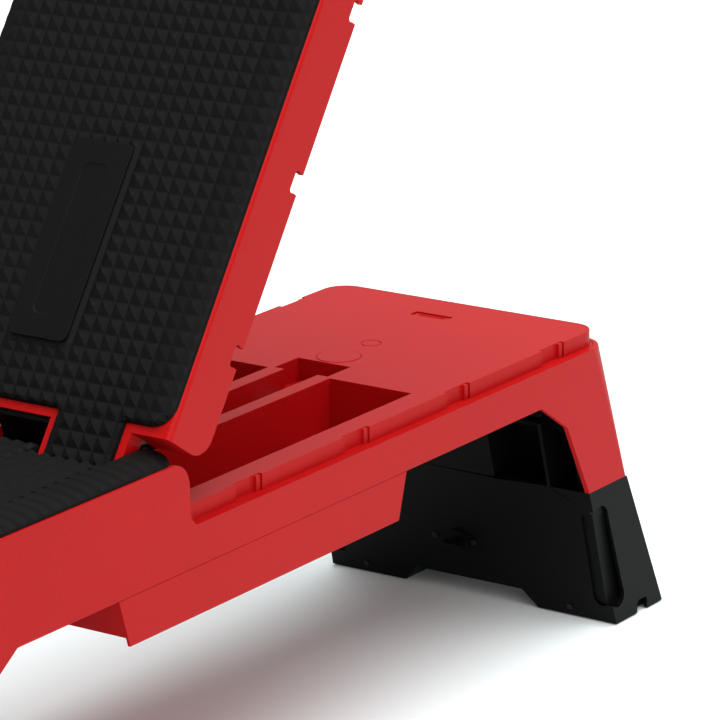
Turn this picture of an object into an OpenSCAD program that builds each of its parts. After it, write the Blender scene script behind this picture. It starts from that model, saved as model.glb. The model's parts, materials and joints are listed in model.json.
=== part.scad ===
// Step bench with a lifting backrest, a storage tray under the step and folding legs.
// Long axis along X, seat at -X, step at +X, floor at Z = 0.

/* [Deck] */
// Length of the deck over its own feet
deck_len = 1100; // [1040:5:1160]
// Width of the deck over its side walls
deck_w = 336; // [330:2:360]
// Height of the step top above the floor, legs out
step_z = 311; // [306:1:316]
// Thickness of the deck's outer walls
wall_t = 5; // [4:0.5:6]
// Thickness of the tray walls
tray_t = 3; // [2.5:0.5:4]

/* [Backrest] */
// Angle of the backrest above its folded position
back_angle = 55.4; // [0:0.2:76]
// Length of the backrest from the hinge to its free end
back_len = 719; // [716:1:719]
// Diameter of the hinge rod
rod_d = 10; // [8:0.5:12]

/* [Legs] */
// Height that the folding legs add under the deck's feet
leg_h = 148; // [140:1:150]
// Angle that both legs are folded in from standing
leg_angle = 0; // [0:1:104]
// Diameter of the leg axles
axle_d = 10; // [8:0.5:12]
// Turn of both latch knobs
knob_angle = 0; // [0:1:90]

/* [Pads] */
// Thickness of the mats
mat_t = 7.5; // [6:0.5:8]

/* [Hidden] */
$fn = 48;

c_red = [0.76, 0.13, 0.14];
c_black = [0.05, 0.05, 0.055];
c_mat = [0.09, 0.09, 0.09];
c_steel = [0.62, 0.63, 0.65];

half_w = deck_w / 2;
in_w = half_w - wall_t;
foot_x = deck_len / 2;
ledge_z = step_z - 15.5;
beam_z = step_z - 53;
top_x = foot_x - 28;
ext = 700;

// Arch under each end: foot inner corner, knee, and start of the straight beam
arch_foot = foot_x - 70.3;
arch_knee = foot_x - 109.5;
arch_beam = foot_x - 155.3;
knee_z = leg_h + 79;
foot_gap = 0.4;
foot_z = leg_h + foot_gap;

// Radius of the deck's upright corners, at the feet and at the top
corner_low = 4;
corner_top = 35;

// Seat end
hinge_x = -198.4;
hinge_z = step_z + 30.4;
seat_end = -160;
seat_r = 22;
seat_z = hinge_z + 14.6;
pad_z = hinge_z + 12.5;
pad_top = pad_z + mat_t;
seat_x0 = -foot_x + 44.2;

// Step
step_half = 158.5;
step_end = foot_x - 36;
bay_pitch = 164.5;
bay_w = 39;
bay_x0 = -83;
bay_n = 4;

// Troughs and channel
trough_y0 = 36.5;
trough_y1 = 131;
trough_x0 = -154;
trough_x1 = 227.5;
chan_y = 19.6;
pocket_x = [231, 269];
pocket_y = 31;
box_x = [-261, 166];
box_y = half_w - 0.5;
box_low_z = beam_z - 45;
box_floor = box_low_z + 8;
insert_z = beam_z + 2.6;

// Backrest
tongue_y = [46, 119];
plate_x = hinge_x + 39.4;
mat_x = plate_x + 8;
mat_y = half_w - 2.5;
cover_y = 37.5;
shell_y = [38, 127];
boss_y = 128.5;
barrel_r = 12.5;
skirt_z = ledge_z + 0.5;
back_end = hinge_x + back_len;
notch_w = 19;
notch_h = 11.5;
notch_x0 = -63;

// Prop
prop_s = 218;
prop_drop = 5;
prop_len = 222;
prop_lead = 3;
prop_ratio = -2.05;
back_stop = 55.4;
prop_px = hinge_x + prop_s;
prop_pz = hinge_z - prop_drop;
pin_r = 4;
foot_r = 8;

// Legs
leg_in_run = 37.8;
leg_out_run = 55.5;
leg_lean = atan2(leg_in_run, leg_h);
leg_px = arch_foot + 4.8;
leg_pz = leg_h + 70;
leg_flare = 8;
leg_in_y = 82;
leg_t = 4;
arch_z = 19.5;
latch_z = 64;
latch_x = arch_foot + leg_in_run * (1 - latch_z / leg_h);
keep_x = leg_px - 153.5;
keep_z = leg_pz + 27;

module along_y(y0, y1) {
    translate([0, y1, 0]) rotate([90, 0, 0]) linear_extrude(y1 - y0) children();
}
module along_x(x0, x1) {
    translate([x0, 0, 0]) rotate([90, 0, 90]) linear_extrude(x1 - x0) children();
}
module both_sides() {
    children();
    mirror([0, 1, 0]) children();
}
module other_end() {
    mirror([1, 0, 0]) children();
}
module block(x, y, z) {
    translate([x[0], y[0], z[0]]) cube([x[1] - x[0], y[1] - y[0], z[1] - z[0]]);
}
module block_mid(x, y, z) {
    block(x, [-y, y], z);
}
module rod_y(x, z, r, y0, y1) {
    translate([x, y1, z]) rotate([90, 0, 0]) cylinder(r = r, h = y1 - y0);
}
function arc(c, r, a0, a1, n = 8) =
    [for (i = [0:n]) c + r * [cos(a0 + (a1 - a0) * i / n), sin(a0 + (a1 - a0) * i / n)]];

// Rounded rectangle in plan from x0 to x1, rounded at the +X end only
module plan_end(x0, x1, y, r) {
    polygon(concat([[x0, -y]], arc([x1 - r, -y + r], r, -90, 0), arc([x1 - r, y - r], r, 0, 90),
        [[x0, y]]));
}

// ---------- pose helpers ----------
module pose_back() {
    translate([hinge_x, 0, hinge_z]) rotate([0, -back_angle, 0])
        translate([-hinge_x, 0, -hinge_z]) children();
}
module pose_prop() {
    pose_back() translate([prop_px, 0, prop_pz]) rotate([0, prop_lead - prop_ratio * back_angle, 0])
        children();
}
module pose_leg() {
    translate([leg_px, 0, leg_pz]) rotate([0, leg_angle, 0]) translate([-leg_px, 0, -leg_pz])
        children();
}
module at_latch(y) {
    translate([latch_x, y, latch_z]) rotate([0, -90 - leg_lean, 0]) children();
}

// ---------- deck ----------
function wall_outline() = concat(
    [[arch_beam, beam_z], [arch_beam, ledge_z], [seat_end + 8, ledge_z],
     [seat_end + 2.5, ledge_z + 5.5], [seat_end, ledge_z + 12.5]],
    arc([seat_end - seat_r, seat_z - seat_r], seat_r, 0, 90),
    [[-arch_beam, seat_z], [-arch_beam, beam_z]]);

// Solid end of the deck outside the arches, every face set in by t
module end_solid(top, x_top, t) {
    e = t > 0 ? 1 : 0;
    hull() {
        translate([0, 0, foot_z - e]) linear_extrude(0.02)
            plan_end(arch_beam - e, foot_x - t, half_w - t, max(corner_low - t, 1));
        translate([0, 0, top + e - 0.02]) linear_extrude(0.02)
            plan_end(arch_beam - e, x_top - t, half_w - t, corner_top - t);
    }
}
module end_shell(top, x_top) {
    difference() {
        end_solid(top, x_top, 0);
        end_solid(top, x_top, wall_t);
        along_y(-ext, ext) polygon([[arch_beam - 2, 0], [arch_foot, 0], [arch_foot, foot_z],
            [arch_knee, knee_z], [arch_beam, beam_z], [arch_beam - 2, beam_z]]);
    }
}

module beam_lips() {
    both_sides() {
        block([-arch_beam + 6, arch_beam - 6], [in_w - 9, in_w + 0.01], [beam_z, beam_z + 3]);
        for (m = [0, 1]) mirror([m, 0, 0]) block([arch_foot + 5, arch_foot + 8],
            [in_w - 4, in_w + 0.01], [leg_h + 4, ledge_z - 12]);
    }
}

module deck_frame() color(c_red) {
    both_sides() along_y(in_w, half_w) polygon(wall_outline());
    end_shell(ledge_z, top_x);
    other_end() end_shell(seat_z, foot_x - 39);
    difference() {
        beam_lips();
        block([box_x[0] - 1, box_x[1] + 1], [-half_w, half_w], [beam_z - 1, beam_z + 4]);
        for (s = [-1, 1]) translate([s * leg_px, 0, leg_pz]) rotate([90, 0, 0])
            cylinder(r = 90, h = 2 * half_w, center = true);
    }
}

// ---------- step ----------
module bay_cut() {
    for (i = [0:bay_n - 1]) {
        x = bay_x0 + i * bay_pitch;
        difference() {
            block([x, x + bay_w], [step_half - 4, step_half + 1], [ledge_z, step_z + 1]);
            block([x + bay_w - 8, x + bay_w - 2], [step_half - 4, step_half - 0.8],
                [ledge_z, step_z - 0.8]);
        }
    }
}
module step_outline(grow) {
    plan_end(seat_end + 1, step_end + grow, step_half + grow, 25 + grow);
}
module trough_plan() {
    for (s = [-1, 1]) translate([trough_x0, s > 0 ? trough_y0 : -trough_y1])
        square([trough_x1 - trough_x0, trough_y1 - trough_y0]);
    translate([trough_x0, -chan_y]) square([pocket_x[0] - trough_x0, 2 * chan_y]);
    translate([pocket_x[0] - 0.01, -pocket_y])
        square([pocket_x[1] - pocket_x[0], 2 * pocket_y]);
}
module step_deck() color(c_red) difference() {
    union() {
        translate([0, 0, step_z - 5]) linear_extrude(5) difference() {
            step_outline(0);
            trough_plan();
        }
        difference() {
            translate([0, 0, ledge_z - 4]) linear_extrude(step_z - ledge_z) step_outline(0);
            translate([0, 0, ledge_z - 5]) linear_extrude(step_z - ledge_z + 1)
                step_outline(-9);
        }
        difference() {
            translate([0, 0, ledge_z - 5]) linear_extrude(5)
                plan_end(seat_end + 1, top_x - wall_t - 0.2, in_w, corner_top - wall_t + 0.2);
            translate([0, 0, ledge_z - 6]) linear_extrude(7) step_outline(-9);
        }
    }
    both_sides() bay_cut();
    translate([293.5, 0, step_z - 1.2]) cylinder(r = 22.2, h = 3);
    difference() {
        translate([347.5, 0, step_z - 0.8]) cylinder(r = 10.5, h = 2);
        translate([347.5, 0, step_z - 0.8]) cylinder(r = 9.2, h = 2);
    }
    block([453.5, 466.5], [-16, 27.5], [step_z - 3.2, step_z + 1]);
}
module step_disc() color(c_red) translate([293.5, 0, step_z - 1.2]) {
    cylinder(r = 21.7, h = 1.6);
}
module step_slot_cover() color(c_red) {
    difference() {
        block([454.2, 465.8], [-15.2, 26.7], [step_z - 3.2, step_z - 1.4]);
        block([457, 463], [-9, 20.5], [step_z - 2.4, step_z]);
    }
}

// ---------- tray ----------
module hopper(g, low, top) {
    intersection() {
        along_y(-ext, ext) polygon([[box_x[0] + g, top], [box_x[0] + 13 + g, box_low_z],
            [box_x[1] - 14 - g, box_low_z], [box_x[1] - g, top]]);
        block_mid([-ext, ext], box_y - g, [low, top + 1]);
    }
}
module tray_wall(x, y, z) {
    both_sides() block(x, y, z);
}
module storage_tray() color(c_red) {
    t = tray_t;
    top = step_z - 5;
    difference() {
        union() {
            difference() {
                hopper(0, box_low_z, beam_z - 0.4);
                hopper(t, box_floor + t, beam_z + 1);
                block_mid([-ext, ext], box_y - t, [box_low_z - 1, box_floor]);
            }
            block_mid([box_x[0] + 2, box_x[1] - 1], in_w - 0.4, [beam_z - 0.4, insert_z]);
        }
        block_mid([seat_end, box_x[1] - 6], trough_y1, [beam_z - 1, beam_z + 5]);
    }
    tray_wall([seat_end - t, trough_x1 + t], [trough_y1, trough_y1 + t], [beam_z + 2, top]);
    tray_wall([trough_x1, trough_x1 + t], [trough_y0, trough_y1 + t], [beam_z + 2, top]);
    block_mid([seat_end - t, seat_end], trough_y1 + t, [beam_z + 2, top]);
    block_mid([box_x[1] - 6.5, trough_x1 + t], trough_y1 + t, [beam_z - 0.4, insert_z]);
}
// Middle part of the tray: inner trough walls, prop channel and foot pocket
module channel_insert() color(c_red) {
    t = tray_t;
    top = step_z - 5;
    tray_wall([seat_end, trough_x1 + t], [trough_y0 - t, trough_y0], [insert_z, top]);
    tray_wall([seat_end + 1, box_x[1] - 16], [trough_y0 - t, trough_y0],
        [box_floor + t, insert_z + 1]);
    tray_wall([seat_end, pocket_x[0]], [chan_y, chan_y + t], [beam_z + 12, top]);
    block_mid([seat_end, pocket_x[0]], trough_y0 - 0.5, [beam_z + 12, beam_z + 15]);
    difference() {
        block_mid([pocket_x[0] - t, pocket_x[1] + t], pocket_y + t, [step_z - 26, top]);
        block_mid([pocket_x[0], pocket_x[1]], pocket_y, [step_z - 23, top + 1]);
        block_mid([pocket_x[0] - t - 1, pocket_x[0] + 1], chan_y, [step_z - 23, top + 1]);
    }
}
// Path of the prop's foot as the backrest turns to angle a
function foot_at(a) = [hinge_x, hinge_z]
    + prop_s * [cos(a), sin(a)] + prop_drop * [sin(a), -cos(a)]
    + prop_len * [cos(prop_lead - prop_ratio * a - a), -sin(prop_lead - prop_ratio * a - a)];
module prop_ramps() color(c_black) both_sides()
    along_y(chan_y + 3, trough_y0 - 3) difference() {
        polygon(concat([[foot_at(76)[0], step_z]],
            [for (a = [76:-2:54]) foot_at(a) - [0, foot_r + 0.45]],
            [[foot_at(54)[0], step_z]]));
        for (a = [back_stop, 64, 73]) translate(foot_at(a) - [0, 1.2]) circle(r = foot_r + 0.3);
    }

// ---------- seat ----------
module boss_outline() {
    polygon(concat([[-246, pad_z], [-246, pad_z - 40], [seat_end, ledge_z + 15.5]],
        arc([seat_end - seat_r, pad_z - seat_r], seat_r, 0, 90)));
}
module seat_panel() color(c_red) difference() {
    union() {
        other_end() translate([0, 0, pad_z - 5]) linear_extrude(5)
            plan_end(22.6 - hinge_x, -seat_x0, in_w, corner_top - wall_t + 0.2);
        both_sides() along_y(boss_y, in_w) boss_outline();
        block_mid([hinge_x - 28.6, hinge_x - 22.6], in_w, [ledge_z + 2, pad_z - 4.9]);
        block_mid([hinge_x - 28.6, seat_end - 8], boss_y, [ledge_z + 2, ledge_z + 5]);
        block_mid([seat_end - 12, seat_end - 8], boss_y + 1, [ledge_z + 2, hinge_z - 6.4]);
        block_mid([seat_end - 12, seat_end + 0.8], boss_y + 1, [step_z - 4.8, step_z - 1.8]);
    }
    rod_y(hinge_x, hinge_z, rod_d / 2, -160, 160);
    block_mid([hinge_x - 23, hinge_x + 40], 36.5, [ledge_z + 5, pad_z + 1]);
    both_sides() rod_y(hinge_x, hinge_z, 9, boss_y - 1, boss_y + 3.6);
    block_mid([seat_end - 14, seat_end + 2], cover_y + 1.5, [ledge_z + 6, pad_z]);
}
module under_ribs() color(c_red) {
    for (x = [-440, -380, -300, -270])
        block_mid([x, x + 3], in_w, [beam_z + 6, pad_z - 5]);
    for (x = [300, 380, 440]) block_mid([x, x + 3], step_half - 9.1, [ledge_z - 20, step_z - 5]);
}
// Mat outline with a prong over each boss and a short tab between the hinge tongues
module seat_mat_plan() {
    y0 = boss_y + 0.5;
    x0 = hinge_x - 20.8;
    x1 = seat_end - 6;
    r = 28;
    polygon(concat(arc([seat_x0 + r, 160 - r], r, 90, 180, 6),
        arc([seat_x0 + r, r - 160], r, 180, 270, 6), arc([x1 - 24, -136], 24, -90, 0, 6),
        [[x1, -y0], [x0, -y0], [x0, -36], [hinge_x - 1, -36], [hinge_x - 1, 36], [x0, 36],
        [x0, y0], [x1, y0]], arc([x1 - 24, 136], 24, 0, 90, 6)));
}
module seat_mat() color(c_mat) translate([0, 0, pad_z]) linear_extrude(mat_t) seat_mat_plan();

module hinge_center_block() color(c_black) difference() {
    union() {
        rod_y(hinge_x, hinge_z, barrel_r, -36, 36);
        block_mid([hinge_x - 22.6, hinge_x + 6], 36, [ledge_z + 5, hinge_z - 2]);
        block_mid([hinge_x - 22.6, hinge_x], 36, [hinge_z - 5, pad_z - 0.2]);
    }
    rod_y(hinge_x, hinge_z, rod_d / 2, -37, 37);
}
module hinge_rod() color(c_steel) rod_y(hinge_x, hinge_z, rod_d / 2, -159.5, 159.5);
module hinge_collars() color(c_black) both_sides() difference() {
    rod_y(hinge_x, hinge_z, 9, boss_y - 0.9, boss_y + 3.6);
    rod_y(hinge_x, hinge_z, rod_d / 2, boss_y - 2, boss_y + 5);
}

// ---------- leg axles ----------
module bracket_one() {
    difference() {
        union() {
            rod_y(leg_px, leg_pz, 11, in_w - 9, in_w);
            block([leg_px - 11, leg_px + 11], [in_w - 9, in_w], [leg_pz, leg_pz + 30]);
        }
        rod_y(leg_px, leg_pz, axle_d / 2, in_w - 10, in_w - 3);
    }
}
module axle_brackets() color(c_black) both_sides() {
    bracket_one();
    other_end() bracket_one();
}
module axle_bracket_screws() color(c_steel) both_sides() for (m = [0, 1]) mirror([m, 0, 0])
    for (dx = [-6, 6]) rod_y(leg_px + dx, leg_pz + 22, 2.5, in_w - 11, in_w - 9);
module leg_axle() {
    rod_y(leg_px, leg_pz, axle_d / 2, -in_w + 3, in_w - 3);
}
module leg_axle_right() color(c_steel) leg_axle();
module leg_axle_left() color(c_steel) other_end() leg_axle();
// Plate with a slot over the knob of a folded leg, hung from the deck above
module keeper_one(top) {
    difference() {
        block([keep_x - 22, keep_x + 22], [-27, 33], [keep_z, top]);
        block([keep_x - 23, keep_x + 23], [-23, 29], [keep_z + 3.4, top - 3]);
        block([keep_x - 6.5, keep_x + 7.5], [-12, 18], [keep_z - 1, keep_z + 5]);
    }
}
module latch_keepers() color(c_black) {
    keeper_one(step_z - 5);
    other_end() keeper_one(pad_z - 5);
}
module stop_pad(top) {
    block([keep_x + 19, keep_x + 34], [82, 98], [keep_z - 4.2, top]);
}
module leg_stop_pads() color(c_black) both_sides() {
    stop_pad(step_z - 5);
    other_end() stop_pad(pad_z - 5);
}

// ---------- backrest ----------
module shell_section() {
    polygon(concat([[-half_w, skirt_z]], arc([-in_w, pad_z - wall_t], wall_t, 180, 90, 6),
        arc([in_w, pad_z - wall_t], wall_t, 90, 0, 6), [[half_w, skirt_z], [in_w, skirt_z],
        [in_w, pad_z - wall_t], [-in_w, pad_z - wall_t], [-in_w, skirt_z]]));
}
module skirt_notches() {
    for (i = [0:3]) translate([notch_x0 + i * bay_pitch, 0, 0]) {
        block_mid([-notch_w / 2, notch_w / 2], ext, [skirt_z - 1, skirt_z + notch_h - 3]);
        block_mid([-notch_w / 2 + 3, notch_w / 2 - 3], ext, [skirt_z, skirt_z + notch_h]);
        for (s = [-1, 1]) rod_y(s * (notch_w / 2 - 2.6), skirt_z + notch_h - 3.6, 3.6,
            -ext, ext);
    }
}
module shell_folded() {
    difference() {
        union() {
            intersection() {
                along_x(plate_x, back_end) shell_section();
                translate([0, 0, -1]) linear_extrude(500)
                    plan_end(-300, back_end, half_w, 30);
            }
            difference() {
                translate([0, 0, skirt_z]) linear_extrude(pad_z - 4 - skirt_z)
                    plan_end(back_end - 60, back_end, half_w, 30);
                translate([0, 0, skirt_z - 1]) linear_extrude(pad_z)
                    plan_end(back_end - 61, back_end - 4.6, in_w, 26);
            }
            both_sides() {
                block([plate_x, plate_x + 4], [shell_y[1] - 1, in_w], [step_z + 1.5, pad_z - 4]);
                block([hinge_x, hinge_x + 50], [shell_y[0], shell_y[1]], [pad_z - 6, pad_z]);
                rod_y(hinge_x, hinge_z, barrel_r, shell_y[0], shell_y[1]);
                for (y = [shell_y[0], 82, shell_y[1] - 4]) block([hinge_x + 6, hinge_x + 62],
                    [y, y + 4], [hinge_z - 6, pad_z - 5]);
            }
        }
        both_sides() rod_y(hinge_x, hinge_z, 8, shell_y[0] - 1, shell_y[1] + 1);
        along_y(-ext, ext) difference() {
            translate([plate_x - 1, skirt_z - 1]) square([23, 23]);
            translate([plate_x + 22, skirt_z + 22]) circle(r = 22);
        }
        along_y(-ext, ext) difference() {
            translate([back_end - 10, skirt_z - 1]) square([12, 11]);
            translate([back_end - 10, skirt_z + 10]) circle(r = 10);
        }
        skirt_notches();
        block_mid([back_end - 10, back_end + 1], 60, [skirt_z - 1, skirt_z + 14]);
    }
}
module backrest_shell() color(c_red) pose_back() shell_folded();
module backrest_ribs() color(c_red) pose_back() {
    gap = 0.2;
    both_sides() for (y = [62, 112]) block([hinge_x + 64, back_end - 6], [y, y + 3],
        [step_z + 6, pad_z - 5]);
    for (x = [60, 180, 300, 420]) both_sides()
        for (y = [[65, 112], [115, in_w - 2.2]])
            block([x, x + 3], [y[0] + gap, y[1] - gap], [step_z + 12, pad_z - 5]);
    for (x = [330, 450]) block_mid([x, x + 3], 62 - gap, [step_z + 12, pad_z - 5]);
}
module back_mat_plan() {
    x1 = back_end - 7;
    r = 22;
    polygon(concat(arc([mat_x + r, mat_y - r], r, 90, 180, 6), [[mat_x, tongue_y[1]],
        [hinge_x, tongue_y[1]], [hinge_x, tongue_y[0]], [mat_x, tongue_y[0]],
        [mat_x, -tongue_y[0]], [hinge_x, -tongue_y[0]], [hinge_x, -tongue_y[1]],
        [mat_x, -tongue_y[1]]], arc([mat_x + r, r - mat_y], r, 180, 270, 6),
        arc([x1 - r, r - mat_y], r, -90, 0, 6), arc([x1 - r, mat_y - r], r, 0, 90, 6)));
}
module backrest_mat() color(c_mat) pose_back() {
    translate([0, 0, pad_z]) linear_extrude(mat_t) back_mat_plan();
    both_sides() difference() {
        rod_y(hinge_x, hinge_z, barrel_r + mat_t, tongue_y[0], tongue_y[1]);
        rod_y(hinge_x, hinge_z, barrel_r, tongue_y[0] - 1, tongue_y[1] + 1);
        block([hinge_x, hinge_x + 40], [0, 140], [hinge_z - 40, hinge_z + 40]);
        block([hinge_x - 40, hinge_x + 40], [0, 140], [hinge_z - 40, hinge_z - 1]);
    }
}
module badge_plate() color(c_black) pose_back() difference() {
    translate([0, 0, pad_top]) linear_extrude(3) polygon(concat(
        arc([-86, 25], 8, 90, 180, 4), arc([-86, -25], 8, 180, 270, 4),
        arc([86, -25], 8, 270, 360, 4), arc([86, 25], 8, 0, 90, 4)));
    translate([0, 0, pad_top + 1.8]) linear_extrude(3) polygon(concat(
        arc([-64, 6], 8, 90, 180, 4), arc([-64, -6], 8, 180, 270, 4),
        arc([64, -6], 8, 270, 360, 4), arc([64, 6], 8, 0, 90, 4)));
}
module hinge_bushes() color(c_black) pose_back() both_sides() difference() {
    rod_y(hinge_x, hinge_z, 8, shell_y[0], shell_y[1]);
    rod_y(hinge_x, hinge_z, rod_d / 2 + 0.05, shell_y[0] - 1, shell_y[1] + 1);
}
// Curved guard behind the middle knuckle, fixed under the edge of the backrest
module hinge_cover() color(c_black) pose_back() {
    along_y(-cover_y, cover_y) polygon(concat(arc([hinge_x, hinge_z], 39, -65, 17, 10),
        arc([hinge_x, hinge_z], 35.5, 17, -65, 10)));
    block_mid([hinge_x + 34, hinge_x + 58], cover_y, [pad_z - 8, pad_z - 5.05]);
}
module prop_brackets() color(c_black) pose_back() both_sides() difference() {
    union() {
        block([prop_px - 22, prop_px + 22], [19, 42], [pad_z - 9, pad_z - 5]);
        block([prop_px - 9, prop_px + 9], [19, 24], [prop_pz, pad_z - 6]);
        rod_y(prop_px, prop_pz, 9, 19, 24);
    }
    rod_y(prop_px, prop_pz, pin_r, 18, 25);
}
module bracket_screws() color(c_steel) pose_back() both_sides() for (dx = [-15, 15])
    translate([prop_px + dx, 33, pad_z - 11]) cylinder(r = 4, h = 2);
module prop_pin() color(c_steel) pose_back() rod_y(prop_px, prop_pz, pin_r, -26, 26);
module prop_clip() color(c_black) pose_back() both_sides()
    block([prop_px + 120, prop_px + 134], [18.5, 21.5], [pad_z - 24, pad_z - 5]);

// ---------- prop ----------
module prop_strut() color(c_steel) pose_prop() difference() {
    union() {
        rod_y(0, 0, 8, -18, 18);
        rod_y(prop_len, 0, 7.5, -16, 16);
        for (s = [-1, 1]) block([0, prop_len], [s > 0 ? 11 : -16, s > 0 ? 16 : -11], [-5, 5]);
        for (x = [50, 110, 170]) block_mid([x, x + 14], 15, [-3, 3]);
    }
    rod_y(0, 0, pin_r + 0.05, -20, 20);
    rod_y(prop_len, 0, 5, -20, 20);
}
module prop_crossbar() color(c_steel) pose_prop() rod_y(prop_len, 0, 5, -31, 31);
module prop_sleeves() color(c_black) pose_prop() both_sides() difference() {
    rod_y(prop_len, 0, foot_r, 16.5, 32);
    rod_y(prop_len, 0, 5, 15, 31);
}

// ---------- legs ----------
// Leg cross section along X with all four faces set in by t; lower floor edge at z0
module leg_side(t, z0) {
    k = t / cos(leg_lean);
    zt = leg_h - t;
    polygon([[arch_foot + leg_in_run * (1 - zt / leg_h) + k, zt],
        [foot_x + leg_out_run * (1 - zt / leg_h) - k, zt],
        [foot_x + leg_out_run * (1 - z0 / leg_h) - k, z0],
        [arch_foot + leg_in_run * (1 - z0 / leg_h) + k, z0]]);
}
module leg_front(t, z0) {
    polygon([[-half_w + t, leg_h - t], [half_w - t, leg_h - t], [half_w + leg_flare - t, z0],
        [leg_in_y + t, z0], [65 + t / 2, arch_z + t], [-65 - t / 2, arch_z + t],
        [-leg_in_y - t, z0],
        [-half_w - leg_flare + t, z0]]);
}
module leg_hull(t, z0) {
    intersection() {
        along_y(-ext, ext) leg_side(t, z0);
        along_x(0, ext) leg_front(t, z0);
    }
}
module groove_side() {
    lo = 30;
    hi = 118;
    along_y(half_w - 2.6, ext) {
        for (z = [lo, hi]) translate([arch_foot + leg_in_run * (1 - z / leg_h) + 12, z])
            circle(r = 12);
        polygon([for (p = [[0, lo], [24, lo], [24, hi], [0, hi]])
            [arch_foot + leg_in_run * (1 - p[1] / leg_h) + p[0], p[1]]]);
        polygon([for (p = [[-3, lo - 8], [12, lo - 12], [12, hi + 12], [-3, hi + 8]])
            [arch_foot + leg_in_run * (1 - p[1] / leg_h) + p[0], p[1]]]);
    }
}
module groove_face() {
    translate([latch_x, 0, latch_z]) rotate([0, -90 - leg_lean, 0]) translate([0, 0, -2.8])
        linear_extrude(8) {
            for (v = [-36, 52]) translate([v, half_w - 5]) circle(r = 10);
            translate([-36, half_w - 15]) square([88, 26]);
        }
}
module groove_pad() {
    along_y(half_w - 7.4, half_w - 3.4) polygon([for (p = [[0.6, 14], [30, 14], [30, 134], [0.6, 134]])
        [arch_foot + leg_in_run * (1 - p[1] / leg_h) + p[0], p[1]]]);
    intersection() {
        translate([latch_x, 0, latch_z]) rotate([0, -90 - leg_lean, 0]) translate([-50, half_w - 24, -7.5])
            cube([118, 21, 4]);
        leg_hull(0, 0);
    }
}
// Point of the leg's front face at height z
function front_at(z) = [arch_foot + leg_in_run * (1 - z / leg_h), z];
module leg_rib(y, set_in, top) {
    along_y(y, y + 4) polygon([front_at(leg_h - 3) + [set_in, 0], front_at(leg_pz) + [set_in, 0],
        [leg_px - 4, leg_pz + 10], [foot_x - 32, top - 2], [foot_x - 15, leg_h - 3]]);
}
module leg_upper() {
    top = leg_pz + 22;
    skin = foot_x - 11;
    // rear skin inside the deck's end wall
    intersection() {
        along_y(-152, 152) polygon([[skin, leg_h - 1], [skin - 17.5, top], [skin - 21.5, top],
            [skin - 8, leg_h - 4], [skin + 6, leg_h - 4]]);
        translate([0, 0, 100]) linear_extrude(300) plan_end(300, skin + 10, 152, 12);
    }
    // middle tongue, carrying on the front face
    along_y(-55, 55) polygon([front_at(leg_h - 1), front_at(leg_pz), [leg_px - 4, leg_pz + 10],
        [leg_px - 4, leg_pz + 5], front_at(leg_pz - 3) + [5, 0], [arch_foot + 8, leg_h - 4]]);
    both_sides() {
        leg_rib(51, 0, top);
        leg_rib(118, 0, top);
        leg_rib(148, 12, top);
    }
    rod_y(leg_px, leg_pz, 11, -152, 152);
}
module leg_body() difference() {
    union() {
        difference() {
            leg_hull(0, 1.5);
            leg_hull(leg_t, 0);
        }
        both_sides() groove_pad();
        both_sides() for (y = [64, 120]) intersection() {
            along_y(y, y + 3) leg_side(1, 9.5);
            leg_hull(1, 1.5);
        }
        leg_upper();
        intersection() {
            at_latch(3) translate([0, 0, -16]) cylinder(r = 11, h = 15);
            leg_hull(0.5, 2);
        }
    }
    both_sides() {
        groove_side();
        groove_face();
        along_y(half_w - 12, ext) {
            translate([foot_x + 7, -1]) square([19, 11]);
            for (x = [11, 22]) translate([foot_x + x, 10]) circle(r = 4);
            translate([foot_x + 11, 9]) square([11, 5]);
        }
    }
    rod_y(leg_px, leg_pz, axle_d / 2 + 0.05, -160, 160);
    at_latch(3) translate([0, 0, -40]) cylinder(r = 6.05, h = 60);
}
module leg_pads_body() both_sides() intersection() {
    block([arch_foot, ext], [80, 165], [0, 9]);
    leg_hull(leg_t + 0.01, 0);
}
module leg_screws_body() {
    for (y = [-14.5, 33]) at_latch(y) difference() {
        cylinder(r = 3.2, h = 1.8);
        translate([0, 0, 1]) cylinder(r = 1.6, h = 2, $fn = 6);
    }
    for (y = [-122, 130]) translate([arch_foot + leg_in_run * (1 - 11 / leg_h), y, 11])
        rotate([0, -90 - leg_lean, 0]) difference() {
            cylinder(r = 3, h = 1.4);
            translate([0, 0, 0.8]) cylinder(r = 1.4, h = 2, $fn = 6);
        }
}
module knob_body() at_latch(3) rotate([0, 0, knob_angle]) {
    difference() {
        union() {
            translate([0, 0, 0.3]) cylinder(r = 13, h = 3.7);
            cylinder(r = 5, h = 12);
            translate([-4.5, -8, 10]) cube([9, 16, 7]);
            for (y = [-8, 8]) translate([0, y, 10]) cylinder(r = 4.5, h = 7);
        }
        translate([0, 0, -1]) cylinder(r = 3, h = 8);
    }
}
module knob_bolt_body() at_latch(3) rotate([0, 0, knob_angle]) {
    translate([0, 0, -24]) cylinder(r = 6, h = 24);
    cylinder(r = 3, h = 7);
    translate([0, 0, -24]) cylinder(r = 9, h = 5);
}

module leg_right() color(c_black) pose_leg() leg_body();
module leg_right_pads() color(c_black) pose_leg() leg_pads_body();
module leg_right_screws() color(c_steel) pose_leg() leg_screws_body();
module knob_right() color(c_black) pose_leg() knob_body();
module knob_right_bolt() color(c_steel) pose_leg() knob_bolt_body();
module leg_left() color(c_black) other_end() pose_leg() leg_body();
module leg_left_pads() color(c_black) other_end() pose_leg() leg_pads_body();
module leg_left_screws() color(c_steel) other_end() pose_leg() leg_screws_body();
module knob_left() color(c_black) other_end() pose_leg() knob_body();
module knob_left_bolt() color(c_steel) other_end() pose_leg() knob_bolt_body();

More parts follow.
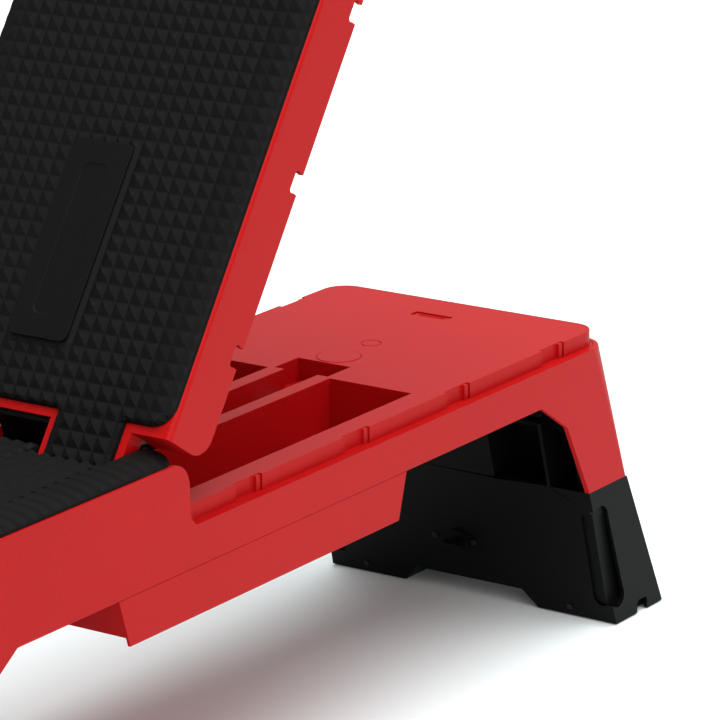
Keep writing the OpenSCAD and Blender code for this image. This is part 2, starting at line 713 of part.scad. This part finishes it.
deck_frame();
step_deck();
step_disc();
step_slot_cover();
storage_tray();
channel_insert();
prop_ramps();
seat_panel();
under_ribs();
seat_mat();
hinge_center_block();
hinge_rod();
hinge_collars();
axle_brackets();
axle_bracket_screws();
leg_axle_right();
leg_axle_left();
leg_stop_pads();
latch_keepers();
backrest_shell();
backrest_ribs();
backrest_mat();
badge_plate();
hinge_bushes();
hinge_cover();
prop_brackets();
bracket_screws();
prop_pin();
prop_clip();
prop_strut();
prop_crossbar();
prop_sleeves();
leg_right();
leg_right_pads();
leg_right_screws();
leg_left();
leg_left_pads();
leg_left_screws();
knob_right();
knob_right_bolt();
knob_left();
knob_left_bolt();
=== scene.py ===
"""Studio view of the step bench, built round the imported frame."""
import bpy
import bmesh
import json
import math
from mathutils import Matrix, Vector


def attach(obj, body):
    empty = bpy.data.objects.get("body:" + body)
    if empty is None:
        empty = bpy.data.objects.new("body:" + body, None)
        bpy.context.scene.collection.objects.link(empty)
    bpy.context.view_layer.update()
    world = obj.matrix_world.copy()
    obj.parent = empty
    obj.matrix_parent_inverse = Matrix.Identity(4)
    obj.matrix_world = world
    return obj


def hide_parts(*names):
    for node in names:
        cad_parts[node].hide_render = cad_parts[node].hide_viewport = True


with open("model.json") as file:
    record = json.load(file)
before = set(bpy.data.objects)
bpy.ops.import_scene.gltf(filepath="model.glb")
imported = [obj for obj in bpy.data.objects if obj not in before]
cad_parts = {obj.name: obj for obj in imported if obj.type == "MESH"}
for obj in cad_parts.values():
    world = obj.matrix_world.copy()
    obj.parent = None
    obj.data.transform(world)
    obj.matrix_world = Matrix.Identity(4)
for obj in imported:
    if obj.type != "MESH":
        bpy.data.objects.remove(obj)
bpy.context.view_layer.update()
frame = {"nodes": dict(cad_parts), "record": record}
NODES = frame["nodes"]
MM = 0.001


def clamp(value, low=0.0, high=1.0):
    return min(max(value, low), high)


# Camera, fitted to the photograph's viewing angle
CAMERA_PLACE = (-2.8336, -2.2704, 1.4316)
CAMERA_YAW = 35.68
CAMERA_PITCH = 16.23
CAMERA_ROLL = -1.15
CAMERA_LENS, SENSOR_WIDTH, CAMERA_REACH = 207.8, 36.0, 60.0


def make_camera():
    yaw, pitch, roll = map(math.radians, (CAMERA_YAW, CAMERA_PITCH, CAMERA_ROLL))
    forward = Vector((math.cos(yaw) * math.cos(pitch), math.sin(yaw) * math.cos(pitch),
                      -math.sin(pitch)))
    right = Vector((math.sin(yaw), -math.cos(yaw), 0.0))
    up = right.cross(forward)
    right, up = (right * math.cos(roll) + up * math.sin(roll),
                 up * math.cos(roll) - right * math.sin(roll))
    camera = bpy.data.objects.new("camera", bpy.data.cameras.new("camera"))
    camera.data.lens = CAMERA_LENS
    camera.data.sensor_width = SENSOR_WIDTH
    camera.data.clip_end = CAMERA_REACH
    turn = Matrix((right, up, -forward)).transposed().to_4x4()
    camera.matrix_world = Matrix.Translation(CAMERA_PLACE) @ turn
    bpy.context.scene.collection.objects.link(camera)
    bpy.context.scene.camera = camera


# ---------- materials ----------
PATCH_SIZE = 60          # broad colour patches, in grains
PATCH_SHARE = 0.35
COLOUR_STOPS = (0.42, 0.92)


def new_material(name):
    material = bpy.data.materials.new(name)
    material.use_nodes = True
    return material, material.node_tree.nodes, material.node_tree.links


def noise(nodes, links, coordinates, scale, detail=2.0, stretch=(1.0, 1.0, 1.0)):
    mapping = nodes.new("ShaderNodeMapping")
    mapping.inputs["Scale"].default_value = stretch
    links.new(coordinates, mapping.inputs["Vector"])
    texture = nodes.new("ShaderNodeTexNoise")
    texture.inputs["Scale"].default_value = scale
    texture.inputs["Detail"].default_value = detail
    links.new(mapping.outputs["Vector"], texture.inputs["Vector"])
    return texture.outputs["Fac"]


def ramp(nodes, links, factor, *colours):
    stops = nodes.new("ShaderNodeValToRGB")
    for stop, position, colour in zip(stops.color_ramp.elements, COLOUR_STOPS, colours):
        stop.position = position
        stop.color = (*colour, 1.0)
    links.new(factor, stops.inputs["Fac"])
    return stops.outputs["Color"]


def spread(nodes, links, factor, low, high):
    between = nodes.new("ShaderNodeMapRange")
    between.inputs["To Min"].default_value = low
    between.inputs["To Max"].default_value = high
    links.new(factor, between.inputs["Value"])
    return between.outputs["Result"]


def grained(name, dark, light, rough, specular, grain, depth, metallic=0.0, stretch=(1, 1, 1)):
    """A surface with fine grain in colour, gloss and relief."""
    material, nodes, links = new_material(name)
    shader = nodes["Principled BSDF"]
    place = nodes.new("ShaderNodeTexCoord").outputs["Object"]
    fine = noise(nodes, links, place, grain, 3.0, stretch)
    broad = noise(nodes, links, place, grain / PATCH_SIZE)
    mixed = nodes.new("ShaderNodeMath")
    mixed.operation = "MULTIPLY_ADD"
    links.new(broad, mixed.inputs[0])
    mixed.inputs[1].default_value = PATCH_SHARE
    links.new(fine, mixed.inputs[2])
    links.new(ramp(nodes, links, mixed.outputs[0], dark, light), shader.inputs["Base Color"])
    links.new(spread(nodes, links, fine, *rough), shader.inputs["Roughness"])
    bump = nodes.new("ShaderNodeBump")
    bump.inputs["Strength"].default_value = 1.0
    bump.inputs["Distance"].default_value = depth
    links.new(fine, bump.inputs["Height"])
    links.new(bump.outputs["Normal"], shader.inputs["Normal"])
    shader.inputs["Specular IOR Level"].default_value = specular
    shader.inputs["Metallic"].default_value = metallic
    return material


MATERIALS = {
    "red_plastic": grained("red_plastic", (0.33, 0.0018, 0.0023), (0.40, 0.0028, 0.0035),
                           (0.38, 0.56), 0.12, 460, 0.00014),
    "black_plastic": grained("black_plastic", (0.0017, 0.0017, 0.0017), (0.003, 0.003, 0.003),
                             (0.40, 0.56), 0.07, 900, 0.00008),
    "mat_rubber": grained("mat_rubber", (0.0026, 0.0025, 0.0024), (0.0046, 0.0044, 0.0042),
                          (0.5, 0.7), 0.08, 700, 0.0001),
    "badge_rubber": grained("badge_rubber", (0.0032, 0.0032, 0.0031), (0.005, 0.005, 0.0048),
                            (0.45, 0.55), 0.07, 800, 0.00004),
    "steel": grained("steel", (0.48, 0.49, 0.51), (0.62, 0.63, 0.65), (0.22, 0.38), 0.5, 500,
                     0.00002, 1.0, (1, 1, 8)),
    "dark_steel": grained("dark_steel", (0.006, 0.006, 0.0065), (0.012, 0.012, 0.013),
                          (0.3, 0.45), 0.2, 600, 0.00005),
    "rubber_feet": grained("rubber_feet", (0.006, 0.006, 0.006), (0.011, 0.011, 0.011),
                           (0.65, 0.8), 0.12, 800, 0.00008),
}


# ---------- carried-over parts ----------
EDGE = {"steel": 0.3, "dark_steel": 0.8, "badge_rubber": 0.7, "rubber_feet": 0.6}
EDGE_ELSEWHERE = 0.9
EDGE_ANGLE = 40          # degrees; a sharper fold than this is softened
SAME_POINT = 0.02
SAME_PLANE = 0.4         # degrees
FLAT_SIDED = {"leg_right", "leg_left"}


def dress(node, slot):
    """Finish and softened edges on a part of the frame; its own mesh stays as it is."""
    node.data.materials.clear()
    node.data.materials.append(MATERIALS[slot])
    weld = node.modifiers.new("weld", "WELD")
    weld.merge_threshold = SAME_POINT * MM
    flat = node.modifiers.new("flat_faces", "DECIMATE")
    flat.decimate_type = "DISSOLVE"
    flat.angle_limit = math.radians(SAME_PLANE)
    bevel = node.modifiers.new("edges", "BEVEL")
    bevel.width = EDGE.get(slot, EDGE_ELSEWHERE) * MM
    bevel.segments = 2
    bevel.limit_method = "ANGLE"
    bevel.angle_limit = math.radians(EDGE_ANGLE)
    if node.name not in FLAT_SIDED:
        node.modifiers.new("even_shading", "WEIGHTED_NORMAL")
        for face in node.data.polygons:
            face.use_smooth = True


for part in frame["record"]["subparts"]:
    dress(NODES[part["node"]], part["material_slot"])


# ---------- mats, in millimetres over the plate they lie on ----------
HINGE_X, HINGE_Z = -198.4, 341.4
PLATE = 12.5             # top of the plate over the hinge
BACK_ANGLE = math.radians(55.4)
PITCH, FIRST_Y = 15.0, 7.5
# One cell of the pattern, in parts of its pitch: groove, slope, flat tip, slope
GROOVE, TIP = 0.035, 0.05
STEPS = (0.0, GROOVE, 0.5 - TIP, 0.5 + TIP, 1.0 - GROOVE)
FOOT = 0.5 - GROOVE
EDGE_Y = 165.5
EDGE_LEVEL = 0.4         # height to which every edge falls
MERGE = 0.05
TOO_NEAR = 0.8           # closest that two grid lines lie
BORDER = 0.1             # keeps a grid line with the region that it bounds
WELL_IN = 8.0            # far enough in from an edge that no rounding is left


def lines(low, high, first, extra):
    """Grid lines of the pyramids between low and high, with extra lines let in."""
    keep = [low, high] + list(extra)
    count = int((high - low) / PITCH) + 3
    start = math.floor((low - first) / PITCH)
    cells = [first + PITCH * (start + k + f) for k in range(count) for f in STEPS]
    cells = [c for c in cells if low < c < high and all(abs(c - e) > TOO_NEAR for e in keep)]
    return sorted(cells + keep)


def in_cell(value, first):
    """Position across its cell, -0.5 to 0.5."""
    turns = (value - first) / PITCH
    return turns - math.floor(turns) - 0.5


def pyramid(across, along):
    reach = max(abs(across), abs(along))
    return clamp((FOOT - reach) / (FOOT - TIP))


def round_off(depth, radius):
    """Quarter-round fall towards an edge, 0 at the edge and 1 inside."""
    return math.sqrt(1.0 - (1.0 - clamp(depth / radius)) ** 2)


def fall(level, depth, radius, low=EDGE_LEVEL):
    """Height at a depth in from an edge that is rounded over."""
    return low + (level - low) * round_off(depth, radius)


def pull_in(x, y, corner_x, side, radius):
    """Keep a point inside a rounded corner; side is -1 for a left end, 1 for a right end."""
    centre_x, centre_y = corner_x - side * radius, EDGE_Y - radius
    dx, dy = (x - centre_x) * side, abs(y) - centre_y
    if dx > 0 and dy > 0 and math.hypot(dx, dy) > radius:
        scale = radius / math.hypot(dx, dy)
        return centre_x + side * dx * scale, math.copysign(centre_y + dy * scale, y)
    return x, y


def corner_depth(x, y, corner_x, side, radius):
    """Distance in from a rounded end."""
    inside_x, inside_y = (corner_x - x) * side, EDGE_Y - abs(y)
    if inside_x < radius and inside_y < radius:
        return radius - math.hypot(radius - inside_x, radius - inside_y)
    return min(inside_x, inside_y)


def build_mat(name, xs, ys, inside, pull, height, under, place):
    """A closed mat over the cells of a grid that are inside its outline."""
    grid = bmesh.new()
    layers = []
    for level in (height, under):
        corners = {}

        def corner(i, j):
            if (i, j) not in corners:
                x, y = pull(xs[i], ys[j])
                corners[i, j] = grid.verts.new(place(x, y, level(x, y)))
            return corners[i, j]

        faces = []
        for i in range(len(xs) - 1):
            for j in range(len(ys) - 1):
                mid_x, mid_y = (xs[i] + xs[i + 1]) / 2, (ys[j] + ys[j + 1]) / 2
                if not inside(mid_x, mid_y):
                    continue
                ring = [corner(i, j), corner(i + 1, j), corner(i + 1, j + 1), corner(i, j + 1)]
                if level is under:
                    faces.append(grid.faces.new(ring[::-1]))
                    continue
                along, across = in_cell(mid_x, HINGE_X), in_cell(mid_y, FIRST_Y)
                if TIP < min(abs(along), abs(across)) and max(abs(along), abs(across)) < FOOT:
                    turn = 0 if along * across > 0 else 1
                    ring = ring[turn:] + ring[:turn]
                    pieces = (ring[:3], [ring[2], ring[3], ring[0]])
                else:
                    pieces = (ring,)
                for piece in pieces:
                    faces.append(grid.faces.new(piece))
        layers.append((corners, faces))
    (tops, top_faces), (bottoms, _) = layers
    partner = {tops[key]: bottoms[key] for key in tops}
    rims = [edge for edge in dict.fromkeys(e for face in top_faces for e in face.edges)
            if len(edge.link_faces) == 1]
    for edge in rims:
        loop = edge.link_loops[0]
        a, b = loop.vert, loop.link_loop_next.vert
        grid.faces.new((b, a, partner[a], partner[b]))
    bmesh.ops.remove_doubles(grid, verts=grid.verts, dist=MERGE * MM)
    bmesh.ops.dissolve_degenerate(grid, edges=grid.edges, dist=SAME_POINT * MM)
    mesh = bpy.data.meshes.new(name)
    grid.to_mesh(mesh)
    grid.free()
    mat = bpy.data.objects.new(name, mesh)
    bpy.context.scene.collection.objects.link(mat)
    mesh.materials.append(MATERIALS["mat_rubber"])
    return mat


# Backrest: tongues over the hinge, rolled sides, rounded corners
BACK_LOW, BACK_HIGH, BACK_R = HINGE_X + 47.4, HINGE_X + 712.0, 22.0
TONGUE = (46.0, 119.0)
BADGE = (93.6, 32.6)
BADGE_LEVEL = 7.45
BACK_LEVEL, BACK_BUMP = 4.9, 2.5
SIDE_Y, SIDE_WIDTH, SIDE_RISE, SIDE_BUMP = 127.5, 14.5, 1.2, 1.4
BACK_ROLL, BACK_END_ROLL, TONGUE_ROLL = 20.0, 4.0, 2.5
WRAP = 17.0
WRAP_END = HINGE_X - 26.0
LIP_Y = 162.0            # the mat hangs a little over the plate past this


def back_inside(x, y):
    return x > BACK_LOW or TONGUE[0] < abs(y) < TONGUE[1]


def back_pull(x, y):
    if x < BACK_LOW + BACK_R:
        return pull_in(x, y, BACK_LOW, -1, BACK_R) if x >= BACK_LOW else (x, y)
    return pull_in(x, y, BACK_HIGH, 1, BACK_R)


def back_height(x, y):
    side = abs(y)
    from_tongue = min(side - TONGUE[0], TONGUE[1] - side)
    bumps = pyramid(in_cell(x, HINGE_X), in_cell(y, FIRST_Y))
    if x < BACK_LOW:
        bumps *= clamp((from_tongue - 1.0) / 4.0, 0.25)
    if side < BADGE[1] + BORDER and abs(x) < BADGE[0] + BORDER:
        return BADGE_LEVEL
    if side < SIDE_Y:
        level = BACK_LEVEL + BACK_BUMP * bumps
    else:
        rise = math.sin(math.pi / 2 * min((side - SIDE_Y) / SIDE_WIDTH, 1.0))
        level = BACK_LEVEL + SIDE_RISE * rise + SIDE_BUMP * bumps
    if from_tongue > -BORDER and x < BACK_LOW + WELL_IN:
        depth = WELL_IN
        if x < BACK_LOW:
            depth = min(from_tongue, x - WRAP_END)
        return fall(level, depth, TONGUE_ROLL)
    ends = (corner_depth(x, y, BACK_LOW, -1, BACK_R) if x < 0
            else corner_depth(x, y, BACK_HIGH, 1, BACK_R))
    roll = fall(level, EDGE_Y - side, BACK_ROLL)
    return min(roll, fall(level, ends, BACK_END_ROLL))


def back_under(x, y):
    return -0.9 if abs(y) > LIP_Y else -0.1


def back_place(x, y, h):
    if x < HINGE_X:
        turn = (x - HINGE_X) / WRAP
        dx, dz = (PLATE + h) * math.sin(turn), (PLATE + h) * math.cos(turn)
    else:
        dx, dz = x - HINGE_X, PLATE + h
    cosine, sine = math.cos(BACK_ANGLE), math.sin(BACK_ANGLE)
    return (MM * (HINGE_X + dx * cosine - dz * sine), MM * y,
            MM * (HINGE_Z + dx * sine + dz * cosine))


back_mat = build_mat("backrest_pad",
                     lines(WRAP_END, BACK_HIGH, HINGE_X,
                           (BACK_LOW, BACK_LOW + 1.2, BACK_LOW + 4, -BADGE[0], BADGE[0],
                            BACK_HIGH - 4, BACK_HIGH - 1.2, WRAP_END + 1)),
                     lines(-EDGE_Y, EDGE_Y, FIRST_Y,
                           [s * v for s in (-1, 1) for v in
                            (BADGE[1], TONGUE[0], TONGUE[0] + 1, TONGUE[1] - 1, TONGUE[1], 152,
                             162.5, 164.6)]),
                     back_inside, back_pull, back_height, back_under, back_place)
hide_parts("backrest_mat")
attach(back_mat, "backrest")

# Seat: a raised roll along both sides and round the end, a prong over each hinge boss
SEAT_LOW, SEAT_HIGH, SEAT_R = -509.0, -166.0, 26.0
SEAT_STEP, SEAT_TAB = HINGE_X - 20.8, HINGE_X - 1.0
PRONG_Y, TAB_Y = 129.0, 36.0
SEAT_LEVEL, SEAT_BUMP = 4.8, 2.7
ROLL_WIDTH, ROLL_FOOT, ROLL_HEIGHT, ROLL_ROUND = 45.5, 2.6, 8.6, 33.5
ROLL_BLEND, PATTERN_BLEND = 12.0, 2.0
SEAT_CORNER, SEAT_CORNER_X = 60.0, -400.0
RIDGE = 0.6
PRONG_FOOT, PRONG_ROUND, SEAT_EDGE_ROUND = 1.6, 12.0, 3.0


def seat_inside(x, y):
    return x < SEAT_STEP or abs(y) > PRONG_Y or (abs(y) < TAB_Y and x < SEAT_TAB)


def seat_pull(x, y):
    if x < SEAT_LOW + SEAT_R:
        return pull_in(x, y, SEAT_LOW, -1, SEAT_R)
    return pull_in(x, y, SEAT_HIGH, 1, SEAT_R)


def seat_height(x, y):
    side = abs(y)
    along = in_cell(x, HINGE_X)
    depth = EDGE_Y - side
    if x < SEAT_CORNER_X:
        depth = corner_depth(x, y, SEAT_LOW, -1, SEAT_CORNER)
    depth = max(depth, 0.0)
    patterned = clamp((depth - 44.0) / PATTERN_BLEND)
    level = SEAT_LEVEL + SEAT_BUMP * pyramid(along, in_cell(y, FIRST_Y)) * patterned
    if depth < ROLL_WIDTH:
        crest = ROLL_FOOT + ROLL_HEIGHT * round_off(depth, ROLL_ROUND)
        crest += RIDGE * clamp((FOOT - abs(along)) / 0.2)
        inner = clamp((ROLL_WIDTH - depth) / ROLL_BLEND)
        level = SEAT_LEVEL + (crest - SEAT_LEVEL) * inner * inner * (3 - 2 * inner)
    edge = WELL_IN
    if x > SEAT_STEP - WELL_IN:
        if side > PRONG_Y - BORDER:
            end = max(corner_depth(x, y, SEAT_HIGH, 1, SEAT_R), 0.0)
            level = min(level, fall(level, end, PRONG_ROUND, PRONG_FOOT))
            edge = side - PRONG_Y
        elif side > TAB_Y:
            edge = SEAT_STEP - x
        else:
            edge = min(SEAT_TAB - x, max(TAB_Y - side, SEAT_STEP - x))
    return fall(level, edge, SEAT_EDGE_ROUND)


def seat_under(x, y):
    return 2.2 if EDGE_Y - abs(y) < 3.5 or x < SEAT_LOW + 4 else -0.1


def seat_place(x, y, h):
    return MM * x, MM * y, MM * (HINGE_Z + PLATE + h)


seat_mat = build_mat("seat_pad",
                     lines(SEAT_LOW, SEAT_HIGH, HINGE_X,
                           (SEAT_LOW + 2, SEAT_LOW + 6, SEAT_LOW + 34, SEAT_STEP - 1.2, SEAT_STEP,
                            SEAT_TAB - 1.2, SEAT_TAB, SEAT_HIGH - 1, SEAT_HIGH - 4)),
                     lines(-EDGE_Y, EDGE_Y, FIRST_Y,
                           [s * v for s in (-1, 1) for v in
                            (TAB_Y - 1.2, TAB_Y, 126, PRONG_Y, PRONG_Y + 1, PRONG_Y + 2.5, 138,
                             146, 154, 160, 163, 164.8)]),
                     seat_inside, seat_pull, seat_height, seat_under, seat_place)
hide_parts("seat_mat")
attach(seat_mat, "deck")


# ---------- studio ----------
FLOOR_HALF = 14.0
FLOOR_COLOUR = (0.80, 0.87, 0.87, 1.0)
ROOM_LIGHT = 0.3
# Soft lights: name, where from, spread in degrees, strength
LIGHTS = (("overhead", (0.0, -0.15, 1.0), 68.0, 4.4),
          ("front", (-0.8, -0.9, 0.6), 60.0, 1.3),
          ("behind", (0.9, 0.7, 0.4), 50.0, 0.3))


def make_studio():
    scene = bpy.context.scene
    world = bpy.data.worlds.new("studio")
    world.use_nodes = True
    world.node_tree.nodes["Background"].inputs["Color"].default_value = (1.0, 1.0, 1.0, 1.0)
    world.node_tree.nodes["Background"].inputs["Strength"].default_value = ROOM_LIGHT
    scene.world = world
    scene.view_settings.view_transform = "Standard"
    mesh = bpy.data.meshes.new("floor")
    corners = [(FLOOR_HALF * x, FLOOR_HALF * y, 0) for x, y in ((-1, -1), (1, -1), (1, 1), (-1, 1))]
    mesh.from_pydata(corners, [], [(0, 1, 2, 3)])
    floor = bpy.data.objects.new("floor", mesh)
    scene.collection.objects.link(floor)
    material, nodes, _ = new_material("floor")
    nodes["Principled BSDF"].inputs["Base Color"].default_value = FLOOR_COLOUR
    nodes["Principled BSDF"].inputs["Roughness"].default_value = 0.9
    nodes["Principled BSDF"].inputs["Specular IOR Level"].default_value = 0.1
    mesh.materials.append(material)
    for name, source, spread_angle, strength in LIGHTS:
        light = bpy.data.lights.new(name, "SUN")
        light.angle = math.radians(spread_angle)
        light.energy = strength
        lamp = bpy.data.objects.new(name, light)
        lamp.location = source
        lamp.rotation_mode = "QUATERNION"
        lamp.rotation_quaternion = Vector(source).to_track_quat("Z", "Y")
        scene.collection.objects.link(lamp)


make_camera()
make_studio()
